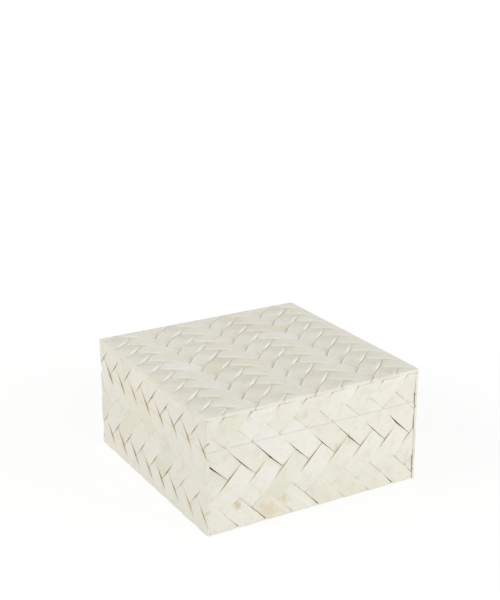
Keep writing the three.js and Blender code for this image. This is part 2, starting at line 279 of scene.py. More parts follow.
class Finish:
    """The nodes of a material or a world, written as expressions."""

    def __init__(self, owner):
        self.owner = owner
        owner.use_nodes = True
        self.tree = owner.node_tree
        self.tree.nodes.clear()

    def node(self, kind, values, output=0, **node_settings):
        """Adds a node: its settings first, then the values or links of its sockets."""
        made = self.tree.nodes.new(kind)
        for name, setting in node_settings.items():
            setattr(made, name, setting)
        for key, value in values.items():
            if isinstance(value, Value):
                self.tree.links.new(value.socket, made.inputs[key])
            elif made.inputs[key].type == "RGBA":
                made.inputs[key].default_value = (*value, 1)
            else:
                made.inputs[key].default_value = value
        return Value(self, made.outputs[output]) if made.outputs else None

    def math(self, operation, first, second=0.0):
        """A Math node."""
        return self.node("ShaderNodeMath", {0: first, 1: second}, operation=operation)

    def lower(self, first, second):
        """The lower of two values."""
        return self.math("MINIMUM", first, second)

    def distance(self, x, y):
        """How far a point is from where both values are zero."""
        return self.math("SQRT", x * x + y * y)

    def between(self, value, low, high, from_value=0.0, to_value=1.0):
        """A smooth step between two values, which stays at its ends outside them."""
        ends = {"From Min": low, "From Max": high, "To Min": from_value, "To Max": to_value}
        return self.node("ShaderNodeMapRange", {"Value": value, **ends}, interpolation_type="SMOOTHSTEP")

    def blend(self, amount, first, second):
        """A colour between two."""
        sockets = {"Factor": amount, 6: first, 7: second}
        return self.node("ShaderNodeMix", sockets, output=2, data_type="RGBA")

    def shade(self, tone, amount):
        """A colour made lighter or darker."""
        return self.node("ShaderNodeVectorMath", {0: tone, "Scale": amount}, operation="SCALE")

    def attribute(self, name):
        """The three numbers of an attribute."""
        return self.parts(self.node("ShaderNodeAttribute", {}, output=1, attribute_name=name))

    def parts(self, vector):
        """The three numbers of a vector."""
        made = self.node("ShaderNodeSeparateXYZ", {"Vector": vector}).socket.node
        return [Value(self, made.outputs[axis]) for axis in "XYZ"]

    def point(self, x, y, z):
        """A vector of three values."""
        return self.node("ShaderNodeCombineXYZ", {"X": x, "Y": y, "Z": z})

    def clouds(self, vector, scale, detail=2.0, roughness=0.5, distortion=0.0):
        """Noise from 0 to 1, the scale in cells per metre."""
        looks = {"Scale": scale, "Detail": detail, "Roughness": roughness, "Distortion": distortion}
        return self.node("ShaderNodeTexNoise", {"Vector": vector, **looks})

    def place(self):
        """Object coordinates, in metres."""
        return self.node("ShaderNodeTexCoord", {}, output=3)

    def seen(self):
        """1 for what the camera sees, straight, off gloss or through glass, and 0 for light on the box."""
        path = self.node("ShaderNodeLightPath", {}).socket.node
        rays = [Value(self, path.outputs[f"Is {kind} Ray"]) for kind in ("Camera", "Glossy", "Transmission")]
        return self.lower(rays[0] + rays[1] + rays[2], 1.0)

    def relief(self, height):
        """A normal from a height in metres."""
        return self.node("ShaderNodeBump", {"Strength": 1.0, "Distance": 1.0, "Height": height})

    def surface(self, **sockets):
        """Ends the material in a Principled surface. Socket names are written with underscores."""
        named = {name.replace("_", " "): value for name, value in sockets.items()}
        shader = self.node("ShaderNodeBsdfPrincipled", named)
        self.node("ShaderNodeOutputMaterial", {"Surface": shader})
        return self.owner


class Look(NamedTuple):
    """What sets one tile apart: how white, tan or grey it is, its fibres, and a stain in it.

    Of the stain: how strong it is, and in mm where it lies along and across the tile and how large it is.
    """

    white: float = 0.0
    tan: float = 0.0
    grey: float = 0.0
    fibre: float = 0.25
    stain: tuple = (0, 0, 0, 5)


RISING, FALLING = 1, -1

# Tiles that stand out, by face and lean, then by column and band
STANDOUT_TILES = {
    ("front", FALLING): {
        (0, -1): Look(fibre=0.7, stain=(0.75, 3, 13, 5)),
        (1, -1): Look(tan=0.35, fibre=0.9, stain=(0.3, 12, 6, 9)),
        (2, -1): Look(fibre=0.8, stain=(0.45, 3, 4, 5)),
        (3, -1): Look(grey=0.3),
        (5, -1): Look(grey=0.25),
        (7, -1): Look(grey=0.7),
        (3, 0): Look(tan=0.22, stain=(0.7, 39, 4.5, 4)),
        (0, 0): Look(grey=0.2),
        (1, 0): Look(white=0.45),
        (2, 0): Look(white=0.35),
        (6, 0): Look(tan=0.15, stain=(0.2, 2, 10, 6)),
    },
    ("front", RISING): {
        (-1, -1): Look(grey=0.6, fibre=0.6),
        (2, -1): Look(grey=0.65, fibre=1.0),
        (0, -1): Look(white=0.2),
        (1, -1): Look(white=0.3),
        (3, -1): Look(white=0.25),
        (4, -1): Look(grey=0.3, stain=(0.5, 39, 14, 4)),
        (0, 0): Look(grey=0.35),
        (1, 0): Look(white=0.5),
        (3, 0): Look(grey=0.25, stain=(0.3, 7.3, 9.2, 3.6)),
        (5, 0): Look(grey=0.25),
        (7, 0): Look(grey=0.4, fibre=0.6),
    },
    ("left", RISING): {
        (0, 0): Look(grey=0.3),
        (1, 0): Look(tan=0.35),
        (2, 0): Look(white=0.2),
        (-1, -1): Look(tan=0.4),
        (1, -1): Look(tan=0.45, fibre=0.6),
        (3, -1): Look(white=0.15),
        (4, -1): Look(grey=0.75, fibre=0.9),
    },
    ("left", FALLING): {
        (1, 0): Look(tan=0.3),
        (2, 0): Look(tan=0.25, grey=0.2),
    },
    ("top", RISING): {
        (3, -1): Look(white=1.0, fibre=0.1),
        (2, 1): Look(white=0.6, fibre=0.1),
        (8, 0): Look(white=0.7),
        (8, 1): Look(white=0.7),
        (1, 1): Look(tan=0.5),
        (0, 1): Look(tan=0.2, stain=(0.25, 5, 6, 6)),
        (1, -1): Look(fibre=0.8),
    },
    ("top", FALLING): {
        (3, 0): Look(tan=0.55, fibre=0.5),
        (5, 2): Look(stain=(0.2, 33, 8, 8)),
        (6, 1): Look(tan=0.25),
        (0, 0): Look(grey=0.2, fibre=0.9, stain=(0.2, 10, 6, 5)),
    },
}


class Face(NamedTuple):
    """One clad face: its turn about Z, where a tip of the weave lies, its reach, and which ends gape."""

    name: str
    turn: float
    tip: tuple
    half_width: float
    gaping: int
    makes_corners: bool = False


SIDE_FACES = [
    Face("front", 0, (-85.6 * MM, 72.8 * MM), WOOD_HALF - FRONT_GAP, 1),
    Face("right", math.pi / 2, (-82 * MM, 72.8 * MM), BOX_HALF, -1, True),
    Face("back", math.pi, (-85.6 * MM, 72.8 * MM), WOOD_HALF - FRONT_GAP, 1),
    Face("left", -math.pi / 2, (-82 * MM, 72.8 * MM), BOX_HALF, -1, True),
]
TOP_FACE = Face("top", -math.pi / 2, (-81 * MM, -31.5 * MM), BOX_HALF, 1)


def deselect():
    """Leaves nothing selected, so that an operator acts only on what it is given."""
    bpy.ops.object.select_all(action="DESELECT")


def choose(*pieces):
    """Selects pieces, the first of them active."""
    deselect()
    for piece in pieces:
        piece.select_set(True)
    bpy.context.view_layer.objects.active = pieces[0]


def edit(piece):
    """Opens a piece for editing with all of it selected."""
    choose(piece)
    bpy.ops.object.mode_set(mode="EDIT")
    bpy.ops.mesh.select_mode(type="FACE")
    bpy.ops.mesh.select_all(action="SELECT")


def close_edit():
    """Goes back to object mode."""
    bpy.ops.object.mode_set(mode="OBJECT")


def turn_outwards():
    """Makes all the faces of the piece being edited point outwards."""
    bpy.ops.mesh.select_all(action="SELECT")
    bpy.ops.mesh.normals_make_consistent(inside=False)


def saw(piece, cuts):
    """Saws off what lies beyond each plane, given by a point and the way out, and closes the cuts."""
    edit(piece)
    for point, outward in cuts:
        bpy.ops.mesh.select_all(action="SELECT")
        bpy.ops.mesh.bisect(plane_co=point, plane_no=outward, clear_outer=True, threshold=SAW_THRESHOLD)
        bpy.ops.mesh.select_all(action="SELECT")
        bpy.ops.mesh.fill_holes(sides=0)
    turn_outwards()
    close_edit()


def rounding(corner, first, second, radius, steps=3):
    """The cuts that round an edge. The corner is a point on it, first and second the ways out of it."""
    centre = corner - radius * (first + second)
    cuts = []
    for step in range(1, steps + 1):
        turned = math.pi / 2 * step / (steps + 1)
        outward = first * math.cos(turned) + second * math.sin(turned)
        cuts.append((centre + radius * outward, outward))
    return cuts


def apply_modifier(piece, kind, **options):
    """Adds a modifier and applies it."""
    choose(piece)
    modifier = piece.modifiers.new(kind.title(), kind)
    for name, option in options.items():
        setattr(modifier, name, option)
    bpy.ops.object.modifier_apply(modifier=modifier.name)


def smooth(piece, degrees=SMOOTH_ANGLE):
    """Shades the faces smooth up to an angle, the broad faces keeping their own direction."""
    choose(piece)
    bpy.ops.object.shade_smooth_by_angle(angle=math.radians(degrees))
    apply_modifier(piece, "WEIGHTED_NORMAL", keep_sharp=True)


def settle(piece, body, finish, stands_for=()):
    """Gives a finished piece its material and its body."""
    piece.data.materials.clear()
    piece.data.materials.append(finish)
    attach(piece, body)
    if stands_for:
        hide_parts(*stands_for)


def copy_piece(piece, name):
    """A piece of its own with a copy of the mesh of another."""
    copy = bpy.data.objects.new(name, piece.data.copy())
    copy.data.name = name
    bpy.context.collection.objects.link(copy)
    return copy


def remove(piece):
    """Deletes a piece and its mesh."""
    mesh = piece.data
    bpy.data.objects.remove(piece)
    bpy.data.meshes.remove(mesh)


def add_plate(low, high, height, pitch):
    """A flat grid at a height, between two corners, its cells about as wide as the pitch."""
    deselect()
    bpy.ops.mesh.primitive_grid_add(
        x_subdivisions=round((high.x - low.x) / pitch),
        y_subdivisions=round((high.y - low.y) / pitch),
        size=1,
        location=((low.x + high.x) / 2, (low.y + high.y) / 2, height),
    )
    plate = bpy.context.object
    plate.scale = (high.x - low.x, high.y - low.y, 1)
    choose(plate)
    bpy.ops.object.transform_apply()
    return plate


def below_crest(weave, x):
    """How far down its arch a place along a tile is: 0 at the crest in the middle, 1 at the ends."""
    wave = math.cos(math.pi * x / weave.tile_length) ** 2
    bow = (2 * x / weave.tile_length - 1) ** 2
    return wave + (bow - wave) * weave.bow


def model_tile(weave):
    """One tile along +X from the origin, the crest of its arch at z = 0, its back sunk in the grout."""
    long = weave.tile_length - weave.gap
    wide = weave.tile_width - weave.gap
    deep = weave.layer - BEHIND
    deselect()
    bpy.ops.mesh.primitive_cube_add(
        size=1, location=(long / 2, wide / 2, -deep / 2), scale=(long, wide, deep)
    )
    tile = bpy.context.object
    choose(tile)
    bpy.ops.object.transform_apply()
    edit(tile)
    for step in range(1, TILE_STEPS):
        bpy.ops.mesh.select_all(action="SELECT")
        where = (long * step / TILE_STEPS, 0, 0)
        bpy.ops.mesh.bisect(plane_co=where, plane_no=(1, 0, 0), threshold=SAW_THRESHOLD)
    for vertex in bmesh.from_edit_mesh(tile.data).verts:
        if vertex.co.z > -deep / 2:
            vertex.co.z = -weave.arch * below_crest(weave, vertex.co.x)
    bpy.ops.mesh.select_mode(type="EDGE")
    bevels = ((True, weave.edge_round, weave.edge_steps), (False, weave.end_round, 2))
    for lengthwise, width, facets in bevels:
        bpy.ops.mesh.select_all(action="DESELECT")
        for edge in bmesh.from_edit_mesh(tile.data).edges:
            start, end = (vertex.co for vertex in edge.verts)
            upper = min(start.z, end.z) > -deep * 0.9
            runs_along = abs(start.x - end.x) > MM
            if upper and runs_along == lengthwise and edge.calc_face_angle(0) > math.radians(60):
                edge.select_set(True)
        bmesh.update_edit_mesh(tile.data)
        bpy.ops.mesh.bevel(offset=width, segments=facets, affect="EDGES")
    close_edit()
    places = tile.data.attributes.new("tile_place", "FLOAT_VECTOR", "POINT")
    for vertex, entry in zip(tile.data.vertices, places.data):
        x, y, z = vertex.co
        entry.vector = (x, y, z + weave.arch * below_crest(weave, x))
    return tile


def draw_look(chance):
    """How a tile looks that nothing sets apart: most are plain, some whiter, darker or greyer."""
    kind = chance.random()
    amount = chance.uniform(0.15, 0.5)
    fibre = chance.uniform(0.1, 0.5)
    if kind < 0.05:
        return Look(white=amount * 0.5, fibre=fibre / 2)
    if kind < 0.26:
        return Look(tan=amount * 0.7, fibre=fibre)
    if kind < 0.46:
        return Look(grey=amount * 0.8, fibre=fibre + 0.2)
    return Look(tan=chance.uniform(0, 0.08), grey=chance.uniform(0, 0.12), fibre=fibre)


def wear(weave, face, lean, slip, x, y):
    """Where filing a gaping end askew moves a corner of a tile, and how much glaze its edge holds there, which
    on the lid is the strength of a painted highlight.
    """
    off_crest = 2 * x / weave.tile_length - 1
    to_end = max(face.gaping * off_crest, 0)
    beside = face.gaping * (2 * y / weave.tile_width - 1)
    from_far_end = weave.tile_length * (1 - face.gaping * off_crest) / 2
    junction = abs(from_far_end - weave.tile_width) / weave.tile_width
    bordering = max(1 - junction, 0) if lean * beside > 0 else 0
    glaze = max(to_end**12, bordering)
    if lean == RISING:
        x -= face.gaping * slip * to_end**6 * (1 + beside) / 2
    else:
        x -= face.gaping * slip * to_end**6 * (1 - beside) / 4
        y -= face.gaping * slip * to_end**1.5 * max(beside, 0)
        glaze = max(glaze, to_end * (beside > 0))
    # On the lid this number is the strength of a painted highlight: full along one long side of each steep
    # tile, faint on the flat ones
    if weave.polished:
        glaze = 0.2 if lean == RISING else (1 if beside > 0 else to_end)
    return x, y, glaze


def copy_tile(pattern, weave, face, chance, look, lean, stand):
    """A copy of the tile in its place, a little off it, with its own height, width and look."""
    tile = copy_piece(pattern, "tile")
    mesh = tile.data
    long = weave.tile_length
    wide = weave.tile_width
    narrower = 1 - weave.gap * chance.uniform(-0.4, 0.8) / wide
    sink = weave.sink * chance.random() ** 2
    arch = weave.arch * chance.uniform(-0.12, 0.08)
    tilt = weave.sink * chance.uniform(-0.4, 0.4)
    back = BEHIND - weave.layer
    slip = weave.taper * chance.uniform(0.15, 1.0) * (0.1 if stand.translation.y > SIDE_HIGH else 1)
    glaze_or_highlight_amount = chance.uniform(0.5, 1.2)
    falls = 1.0 if lean == FALLING else 0.0
    glaze_or_highlight = []
    for vertex in mesh.vertices:
        x, y, z = vertex.co
        off_middle = 2 * y / wide - 1
        if z > back * 0.9:
            z += -sink - arch * below_crest(weave, x) + tilt * off_middle / 2
        x, y, glaze = wear(weave, face, lean, slip, x, y)
        glaze_or_highlight += (glaze * glaze_or_highlight_amount, falls, 0.0)
        vertex.co = (x, wide / 2 + (y - wide / 2) * narrower, min(z, 0))
    middle = Matrix.Translation((long / 2, wide / 2, 0))
    shift = Vector([chance.uniform(-weave.shift, weave.shift) for _ in range(2)] + [0])
    turn = Matrix.Rotation(chance.uniform(-weave.turn, weave.turn), 4, "Z")
    inset = Matrix.Translation((weave.gap / 2, weave.gap / 2, 0))
    mesh.transform(stand @ Matrix.Translation(shift) @ middle @ turn @ middle.inverted() @ inset)
    count = len(mesh.vertices)
    stain_amount, *spot = look.stain
    rows = {
        "tile_tint": (look.white, look.tan, look.grey) * count,
        "tile_look": (chance.random(), look.fibre, stain_amount) * count,
        "tile_stain": [part * MM for part in spot] * count,
        "tile_glaze": glaze_or_highlight,
    }
    for name, row in rows.items():
        mesh.attributes.new(name, "FLOAT_VECTOR", "POINT").data.foreach_set("vector", row)
    return tile


def overlaps(weave, stand, low, high):
    """Whether a tile in its place reaches more than a millimetre into a face."""
    corners = [stand @ Vector((x, y, 0)) for x in (0, weave.tile_length) for y in (0, weave.tile_width)]
    return all(
        max(corner[axis] for corner in corners) > low[axis] + MM
        and min(corner[axis] for corner in corners) < high[axis] - MM
        for axis in (0, 1)
    )


def lay_tiles(pattern, weave, face, low, high):
    """The tiles of one face in its own plane: X to the right, Y up, Z out of the wood."""
    steps = (weave.tile_width * math.sqrt(2), weave.tile_length * math.sqrt(2))
    reach = weave.tile_length + weave.tile_width
    first = [math.ceil((low[axis] - reach - face.tip[axis]) / steps[axis]) for axis in (0, 1)]
    last = [math.floor((high[axis] + reach - face.tip[axis]) / steps[axis]) for axis in (0, 1)]
    tiles = []
    for band in range(first[1], last[1] + 1):
        for column in range(first[0], last[0] + 1):
            corner = Vector((face.tip[0] + column * steps[0], face.tip[1] + band * steps[1], weave.layer))
            for lean in (RISING, FALLING):
                stand = Matrix.Translation(corner) @ Matrix.Rotation(lean * math.pi / 4, 4, "Z")
                if overlaps(weave, stand, low, high):
                    chance = random.Random(f"{face.name} {column} {band} {lean}")
                    plain = draw_look(chance)
                    look = STANDOUT_TILES.get((face.name, lean), {}).get((column, band), plain)
                    tiles.append(copy_tile(pattern, weave, face, chance, look, lean, stand))
    choose(*tiles)
    bpy.ops.object.join()
    return bpy.context.object


def spread_grout(weave, low, high):
    """The grout between the tiles: a slab with an uneven top, not quite as large as the layer."""
    inset = Vector((GROUT_INSET, GROUT_INSET, 0))
    grout = add_plate(low + inset, high - inset, weave.grout, GROUT_PITCH)
    for vertex in grout.data.vertices:
        vertex.co.z += GROUT_RELIEF * noise.noise(vertex.co / GROUT_LUMPS)
    edit(grout)
    bpy.ops.mesh.extrude_region_move(TRANSFORM_OT_translate={"value": (0, 0, -weave.grout / 2)})
    turn_outwards()
    close_edit()
    for vertex in grout.data.vertices:
        if vertex.co.z < weave.grout * 0.7:
            vertex.co.z = BEHIND / 2
    return grout


def side_cuts(weave, face, low, high):
    """The cuts that give the layer of one side its outline, in the face's plane."""
    right, up, out = Vector((1, 0, 0)), Vector((0, 1, 0)), Vector((0, 0, 1))
    cuts = [(low, -right), (high, right), (low, -up), (high, up)]
    foot = Vector((0, low.y, weave.layer))
    cuts += rounding(foot, -up, out, weave.rim_round)
    if face.makes_corners:
        for side in (-1, 1):
            corner = Vector((side * face.half_width, 0, weave.layer))
            cuts += rounding(corner, side * right, out, weave.corner_round)
    return cuts


def level_rim(tiles, weave):
    """Lets the arches run out towards the rim of the lid, where every tile has been filed to one height."""
    places = tiles.data.attributes["tile_place"].data
    looks = tiles.data.attributes["tile_look"].data
    for vertex, entry, look in zip(tiles.data.vertices, places, looks):
        inward = BOX_HALF - max(abs(vertex.co.x), abs(vertex.co.y))
        if entry.vector.z > -1.1 * weave.edge_round and inward < weave.rim_reach:
            level = weave.rim_height + weave.rim_wave * (look.vector.x - 0.5)
            vertex.co.z += (level - vertex.co.z) * (1 - inward / weave.rim_reach)


def stop_cut(up):
    """The bevel behind the hinge axis, on which the opened lid stops."""
    outward = Vector((0, math.sin(STOP_BEVEL), -up * math.cos(STOP_BEVEL)))
    return HINGE_AXIS, outward


def clear_barrels(piece):
    """Cuts the room that the hinge barrels turn in, one tile at a time because tiles touch each other."""
    choose(piece)
    layers = piece.data.attributes
    for name in [layer.name for layer in layers if layer.name.startswith("tile_")]:
        layers.active = layers[name]
        bpy.ops.geometry.attribute_convert(domain="CORNER", data_type=layers[name].data_type)
    edit(piece)
    bpy.ops.mesh.separate(type="LOOSE")
    close_edit()
    parts = [part for part in bpy.context.selected_objects if part != piece]
    for side in (-1, 1):
        middle = Vector((side * HINGE_REACH, HINGE_AXIS.y, HINGE_AXIS.z))
        deselect()
        bpy.ops.mesh.primitive_cylinder_add(
            vertices=32,
            radius=BARREL_ROOM_RADIUS,
            depth=BARREL_ROOM_LENGTH,
            location=middle,
            rotation=(0, math.pi / 2, 0),
        )
        room = bpy.context.object
        for part in [piece, *parts]:
            if min((vertex.co - middle).length for vertex in part.data.vertices) < NEAR_BARREL:
                apply_modifier(part, "BOOLEAN", operation="DIFFERENCE", object=room, solver="EXACT")
        remove(room)
        parts = [part for part in parts if part.data.vertices]
    choose(piece, *parts)
    bpy.ops.object.join()


FINISHES = {}


def finish_of(name, maker, *details, **amounts):
    """The finish of that name, made the first time that a piece asks for it."""
    if name not in FINISHES:
        FINISHES[name] = maker(name, *details, **amounts)
    return FINISHES[name]


def bone_body(finish, tones, broad, smudges, fibres, streaks, fibre_amount):
    """The bone's own colour: whiter, browner or greyer by tile, with clouds and fibres in it."""
    white, tan, grey = finish.attribute("tile_tint")
    tone = finish.blend(white, tones.bone, tones.white_bone)
    tone = finish.blend(tan, tone, tones.tan_bone)
    tone = finish.blend(grey * finish.between(broad + streaks * 0.5, 0.45, 1.0), tone, tones.grey_bone)
    tone = finish.blend(finish.between(broad, 0.52, 0.75) * 0.26, tone, tones.tan_bone)
    tone = finish.blend(finish.between(smudges, 0.5, 0.72) * 0.5, tone, tones.grey_bone)
    light = 1 + (fibres - 0.5) * (fibre_amount * 0.16 + 0.03) + (streaks - 0.5) * (fibre_amount * 0.22)
    return finish.shade(tone, light + (broad - 0.5) * 0.08)


def bone_finish(name, weave, wall_glaze_or_highlight, whiten, wax, tips):
    """Polished bone: soft clouds, fine fibres along each tile, brown spots, glaze left on its edges at the
    sides, a painted highlight along its upper edges and on the lid's walls, and painted shade where it dips.
    """
    tones = settings().colours
    finish = Finish(bpy.data.materials.new(name))
    long = weave.tile_length - weave.gap
    wide = weave.tile_width - weave.gap
    along, across, depth = finish.attribute("tile_place")
    seed, fibre_amount, stain_amount = finish.attribute("tile_look")
    glaze_or_highlight, falling, _ = finish.attribute("tile_glaze")

    own = finish.point(along, across + seed * 3.1, depth + seed * 7.7)
    stretched = finish.point(along * 0.045, across + seed * 3.1, depth)
    broad = finish.clouds(own, 55)
    mottle = finish.clouds(own, 240, detail=3, distortion=0.4)
    smudges = finish.clouds(own, 110, detail=3, roughness=0.6, distortion=0.8)
    patches = finish.clouds(own, 130)
    fibres = finish.clouds(stretched, 1300, detail=3, roughness=0.6)
    streaks = finish.clouds(stretched, 420, roughness=0.6, distortion=0.6)
    tone = bone_body(finish, tones, broad, smudges, fibres, streaks, fibre_amount)

    spot_along, spot_across, spot_size = finish.attribute("tile_stain")
    off = finish.distance((along - spot_along) / (spot_size * 1.5), (across - spot_across) / spot_size)
    spot = 1 - finish.between(off + (mottle - 0.5) * 1.6 + (smudges - 0.5) * 1.8, 0.1, 1.0)
    spot = spot * stain_amount * finish.between(streaks, 0.2, 0.6, 0.55, 1.0)
    tone = finish.blend(spot, tone, tones.stain)

    # Faces that the saw has cut are darker, on some tiles more than on others
    from_side = finish.lower(across, wide - across)
    from_end = finish.lower(along, long - along)
    inward = finish.lower(from_end, from_side)
    near = 1 - finish.between(inward, 0.1 * MM, 0.55 * MM)
    below = finish.between(depth, -0.25 * MM, -0.8 * MM)
    sawn = (1 - near) * finish.between(depth, -0.7 * MM, -1.1 * MM)
    tone = finish.blend(sawn * finish.between(seed, 0.4, 1.0, 0.05, 0.45), tone, tones.tan_bone)

    # Upper edges get a painted highlight, partly the whitening of polishing, and painted shade darkens the tile
    # near its ends, where it dips
    glaze_or_highlight = finish.between(glaze_or_highlight + (patches - 0.5) * 0.8, 0.1, 0.6, 0.1, 1.0)
    dip_shade_mask = 1 - finish.between(from_end, 0.3 * MM, 3.2 * MM)
    dip_shade_mask = dip_shade_mask * finish.between(patches, 0.25, 0.6, 0.4, 1.0)
    if weave.polished:
        rim = glaze_or_highlight * (1 - finish.between(from_side, 0.9 * MM, 2.0 * MM))
        # On the lid's steep tiles, painted shade darkens the far slope of the arch
        far_slope_shade = finish.between(along, -0.1 * long, 0.25 * long)
        far_slope_shade = far_slope_shade - finish.between(along, 0.3 * long, 0.65 * long)
        # Painted shadow in the pit at a flat tile's end, beside the higher steep tile
        pit_shadow = 1 - finish.between(long - along, 0.3 * MM, 2.5 * MM)
        dip_shade_mask = finish.math("MAXIMUM", dip_shade_mask, far_slope_shade * falling * 0.76)
        dip_shade_mask = finish.math("MAXIMUM", dip_shade_mask, pit_shadow * (1 - falling) * 2.0)
    else:
        at_end = finish.between(finish.math("ABSOLUTE", along * (2 / long) - 1.0), 0.4, 0.95)
        rim = (1 - finish.between(inward, 0.05 * MM, 0.7 * MM)) * (1 - at_end)
    # Painted highlight on the upper edges, then painted shade in the dips
    tone = finish.blend(rim * (1 - below) * whiten, tone, tones.worn_edge_highlight)
    tone = finish.blend(dip_shade_mask * wax, tone, tones.painted_dip_shade)

    # Glaze has stayed on the walls of the gaps, and round the tip that tiles share; on the lid the walls get a
    # painted highlight instead
    tip = 1 - finish.between(finish.distance(along, across), 0.4 * MM, 1.8 * MM)
    tip = tip * finish.between(patches, 0.35, 0.55) * tips
    # On the sides this is glaze in the gaps; on the lid the same mask paints a highlight on the steep tiles'
    # walls
    glaze = finish.math("MAXIMUM", near * below * glaze_or_highlight, tip)
    tone = finish.blend(glaze, tone, wall_glaze_or_highlight)
    rough = 0.4 + (fibres - 0.5) * 0.12 + (mottle - 0.5) * 0.1 + glaze * 0.3
    height = broad * (0.16 * MM) + mottle * (0.02 * MM) + fibres * (0.006 * MM)
    return finish.surface(
        Base_Color=tone, Roughness=rough, Normal=finish.relief(height), Specular_IOR_Level=0.25
    )


def grout_finish(name, grout_tone):
    """Grout: sandy and matt, blackened in places."""
    finish = Finish(bpy.data.materials.new(name))
    spot = finish.place()
    sand = finish.clouds(spot, 2500, detail=3)
    patches = finish.clouds(spot, 110)
    sooty = tuple(part * 0.2 for part in grout_tone)
    tone = finish.blend(finish.between(patches, 0.4, 0.62), grout_tone, sooty)
    tone = finish.shade(tone, 0.8 + sand * 0.4)
    height = sand * (0.05 * MM)
    return finish.surface(Base_Color=tone, Roughness=0.9 + sand * 0.1, Normal=finish.relief(height))


def wood_finish(name, tone, axis):
    """Wood with its grain along X or Y: growth rings, fine pores and a thin satin varnish."""
    finish = Finish(bpy.data.materials.new(name))
    x, y, z = finish.parts(finish.place())
    along, across = (x, y) if axis == "X" else (y, x)
    drift = finish.clouds(finish.point(along * 0.3, across, z), 26)
    grain = finish.point(along * 0.06, across + drift * 0.012, z + drift * 0.01)
    rings = finish.clouds(grain, 170, detail=3, roughness=0.55, distortion=0.4)
    pores = finish.clouds(finish.point(along * 0.03, across, z), 2200)
    dark = finish.between(rings, 0.38, 0.62)
    pits = finish.between(pores, 0.62, 0.74)
    light = 0.72 + dark * 0.45 + (drift - 0.5) * 0.25 - pits * 0.3
    body = finish.shade(finish.blend(dark, tuple(part * 0.8 for part in tone), tone), light)
    height = rings * (0.04 * MM) - pits * (0.05 * MM)
    return finish.surface(
        Base_Color=body, Roughness=0.5 + pits * 0.25, Normal=finish.relief(height), Coat_Weight=0.15
    )


def felt_finish(name, tone):
    """Pressed wool felt: short tangled fibres, a little pilling and no gloss."""
    finish = Finish(bpy.data.materials.new(name))
    spot = finish.place()
    tangle = finish.clouds(spot, 2600, detail=4, roughness=0.7, distortion=2.0)
    lumps = finish.clouds(spot, 420, detail=3)
    rubbed = finish.clouds(spot, 24)
    light = 0.62 + tangle * 0.5 + (lumps - 0.5) * 0.3 + (rubbed - 0.5) * 0.3
    body = finish.shade(finish.blend(lumps, tone, tuple(part * 0.9 for part in tone)), light)
    height = tangle * (0.16 * MM) + lumps * (0.12 * MM)
    return finish.surface(
        Base_Color=body, Roughness=0.95, Normal=finish.relief(height), Sheen_Weight=0.3, Sheen_Roughness=0.5
    )


def brass_finish(name, tone):
    """Satin brass with brushing along X and a little tarnish."""
    finish = Finish(bpy.data.materials.new(name))
    spot = finish.place()
    x, y, z = finish.parts(spot)
    brushing = finish.clouds(finish.point(x * 0.03, y, z), 5200)
    tarnish = finish.between(finish.clouds(spot, 190, detail=4, roughness=0.6), 0.5, 0.75)
    body = finish.blend(tarnish * 0.55, tone, tuple(part * 0.45 for part in tone))
    rough = 0.26 + brushing * 0.16 + tarnish * 0.2
    height = brushing * (0.004 * MM)
    return finish.surface(Base_Color=body, Roughness=rough, Metallic=1.0, Normal=finish.relief(height))


def take_half(layer, name, weave, face, up):
    """The part of a side's layer over or under the sawn gap, stood up on its side of the box."""
    piece = copy_piece(layer, name)
    parting = Vector((0, PARTING + up * weave.parting_gap / 2, 0))
    saw(piece, [(parting, Vector((0, -up, 0)))])
    piece.data.transform(
        Matrix.Rotation(face.turn, 4, "Z")
        @ Matrix.Translation((0, -WOOD_HALF, 0))
        @ Matrix.Rotation(math.pi / 2, 4, "X")
    )
    if face.name != "front":
        saw(piece, [stop_cut(up)])
    if face.name == "back":
        clear_barrels(piece)
    smooth(piece, SMOOTH_ANGLE_BEHIND if face.name == "back" else SMOOTH_ANGLE)
    return piece


class BOX_OT_side_weave(bpy.types.Operator):
    """Lays the tiles and the grout on the four sides of the base and the lid"""

    bl_idname = "box.side_weave"
    bl_label = "Side Weave"

    def execute(self, context):
        weave = settings().side_weave
        tones = settings().colours
        mortar = finish_of("side_grout", grout_finish, tones.side_grout)
        pattern = model_tile(weave)
        for face in SIDE_FACES:
            kind = "front" if face.gaping > 0 else "side"
            wall = getattr(tones, f"{kind}_wall")
            # The sides' bone: a little painted highlight on its edges and faint painted shade in its dips
            bone = finish_of(f"{kind}_bone", bone_finish, weave, wall, whiten=0.5, wax=0.1, tips=0.85)
            low = Vector((-face.half_width, SIDE_LOW, 0))
            high = Vector((face.half_width, SIDE_HIGH - SEAM, 0))
            layers = {
                "bone_weave": lay_tiles(pattern, weave, face, low, high),
                "grout": spread_grout(weave, low, high),
            }
            for part, layer in layers.items():
                saw(layer, side_cuts(weave, face, low, high))
                for body, up in (("base", -1), ("lid", 1)):
                    piece = take_half(layer, f"{body}_{face.name}_{part}", weave, face, up)
                    if part == "grout":
                        settle(piece, body, mortar)
                    else:
                        settle(piece, body, bone, stands_for=[f"{body}_{face.name}_tiles"])
                remove(layer)
        remove(pattern)
        return {"FINISHED"}


